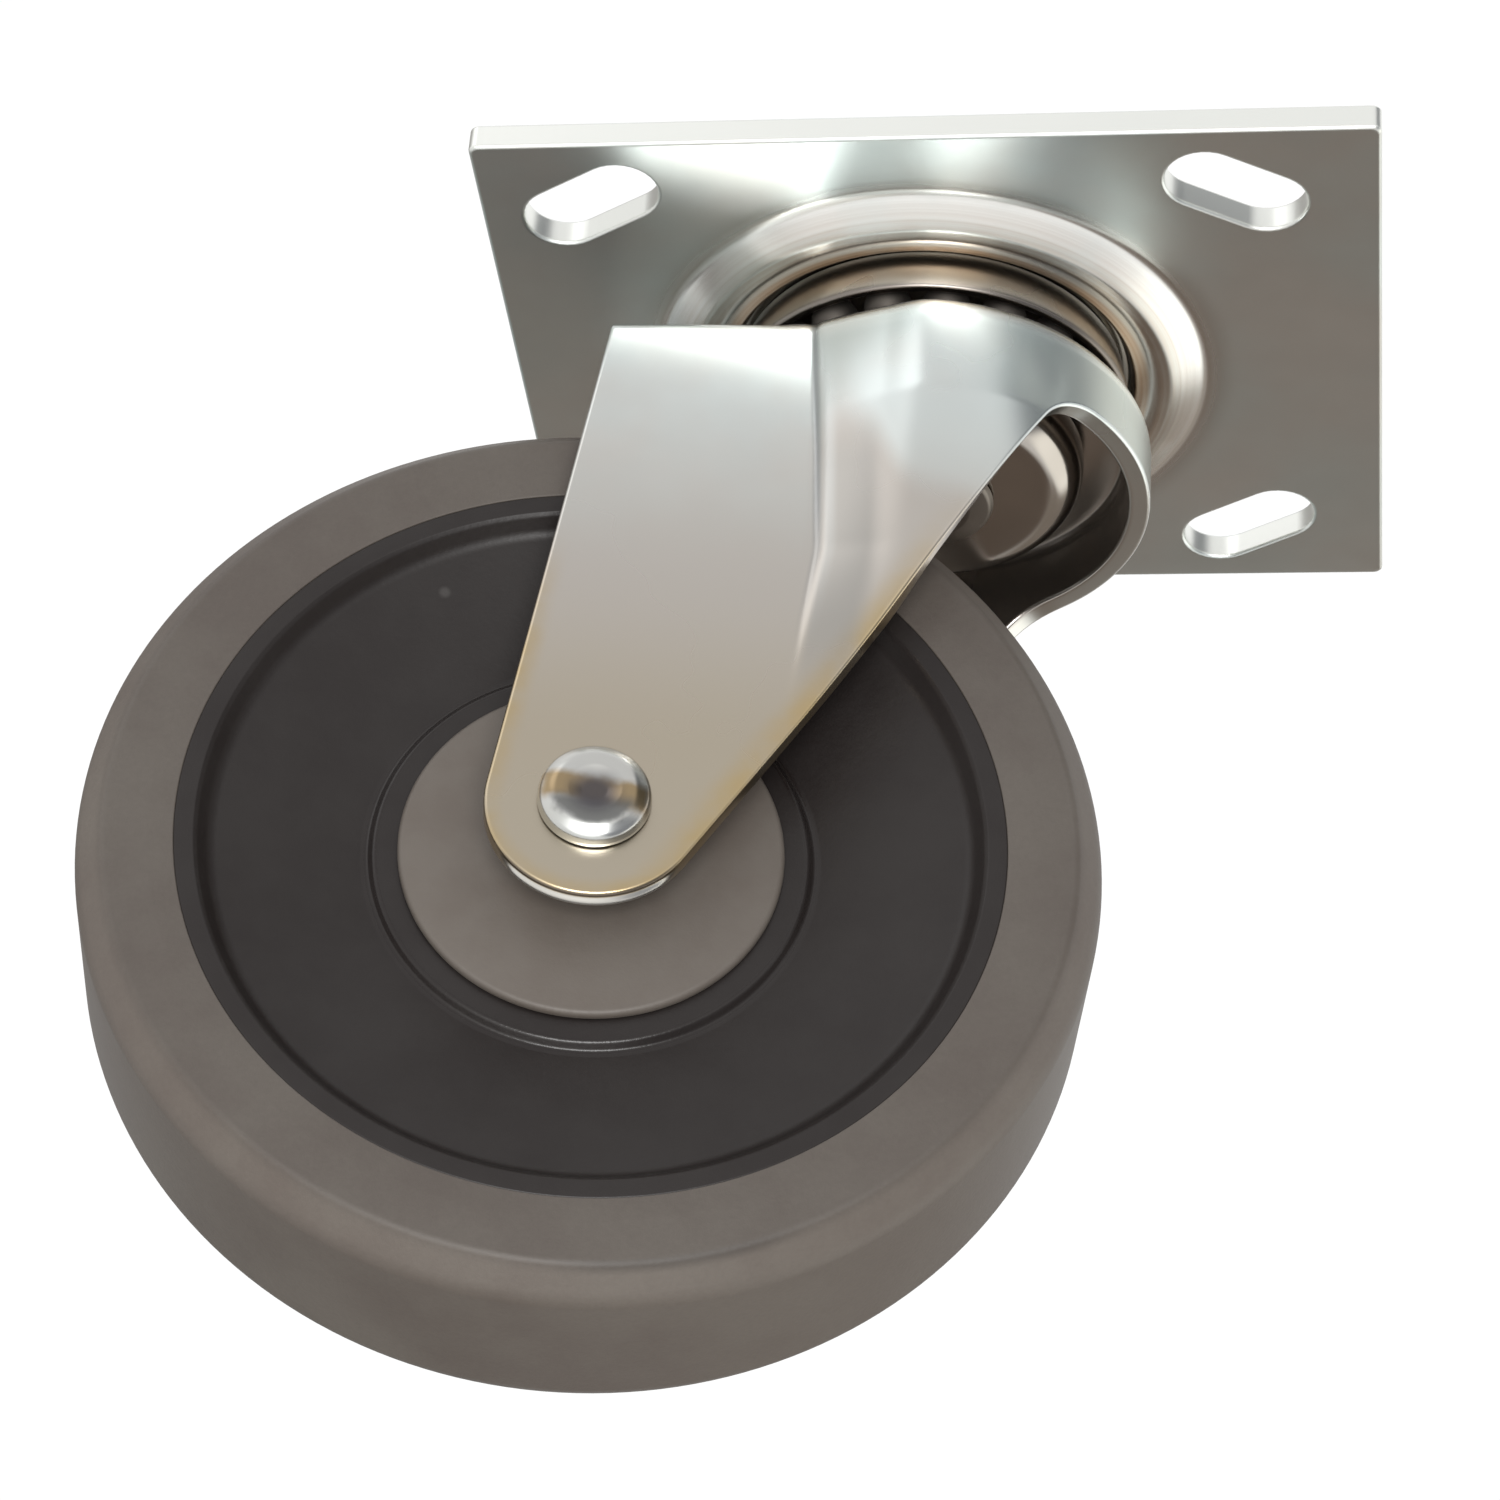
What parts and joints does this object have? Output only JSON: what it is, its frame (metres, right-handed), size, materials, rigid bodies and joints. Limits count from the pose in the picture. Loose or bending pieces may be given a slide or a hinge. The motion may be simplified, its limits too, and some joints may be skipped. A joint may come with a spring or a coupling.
{
  "type": "gate wheel",
  "caption": "Swivel gate wheel with a slotted top plate, pressed steel fork on ball races and a rubber-tyred plastic wheel.",
  "frame": {"origin": "kingpin axis at the top plate's upper, bolted face", "axes": "+Z out of the bolted face, away from the wheel; +X along the plate's long side, away from the trailing wheel"},
  "size_m": [0.164, 0.0952, 0.1561],
  "materials": {
    "zinc_steel": "zinc plated, satin",
    "bearing_steel": "polished",
    "grey_rubber": "matte moulded",
    "black_plastic": "moulded, low sheen",
    "grey_plastic": "moulded, low sheen",
    "acetal": "smooth"
  },
  "bodies": {
    "mount": {"top_plate": "zinc_steel", "kingpin": "zinc_steel", "upper_race": "zinc_steel", "lower_race": "zinc_steel"},
    "fork": {"fork_yoke": "zinc_steel", "axle": "zinc_steel", "axle_bushing": "bearing_steel"},
    "wheel": {"tread": "grey_rubber", "wheel_core": "black_plastic", "thread_guard_near": "grey_plastic", "thread_guard_far": "grey_plastic", "hub_bearing": "acetal"},
    "ball_rings": {"upper_ball_01": "bearing_steel", "upper_ball_02": "bearing_steel", "upper_ball_03": "bearing_steel", "upper_ball_04": "bearing_steel", "upper_ball_05": "bearing_steel", "upper_ball_06": "bearing_steel", "upper_ball_07": "bearing_steel", "upper_ball_08": "bearing_steel", "upper_ball_09": "bearing_steel", "upper_ball_10": "bearing_steel", "upper_ball_11": "bearing_steel", "upper_ball_12": "bearing_steel", "upper_ball_13": "bearing_steel", "upper_ball_14": "bearing_steel", "upper_ball_15": "bearing_steel", "upper_ball_16": "bearing_steel", "upper_ball_17": "bearing_steel", "upper_ball_18": "bearing_steel", "lower_ball_01": "bearing_steel", "lower_ball_02": "bearing_steel", "lower_ball_03": "bearing_steel", "lower_ball_04": "bearing_steel", "lower_ball_05": "bearing_steel", "lower_ball_06": "bearing_steel", "lower_ball_07": "bearing_steel", "lower_ball_08": "bearing_steel", "lower_ball_09": "bearing_steel", "lower_ball_10": "bearing_steel", "lower_ball_11": "bearing_steel", "lower_ball_12": "bearing_steel", "lower_ball_13": "bearing_steel"}
  },
  "joints": [
    {"name": "swivel", "type": "hinge", "parent": "mount", "child": "fork", "pos_m": [0, 0, -0.014], "axis": [0, 0, 1], "continuous": true},
    {"name": "wheel_spin", "type": "hinge", "parent": "fork", "child": "wheel", "pos_m": [-0.0388, -0.00653, -0.0926], "axis": [0.1659, -0.9861, 0], "continuous": true},
    {"name": "balls_roll", "type": "hinge", "parent": "mount", "child": "ball_rings", "pos_m": [0, 0, -0.014], "axis": [0, 0, 1], "continuous": true}
  ],
  "couplings": [
    {"joint": "balls_roll", "follows": "swivel", "ratio": 0.5}
  ]
}
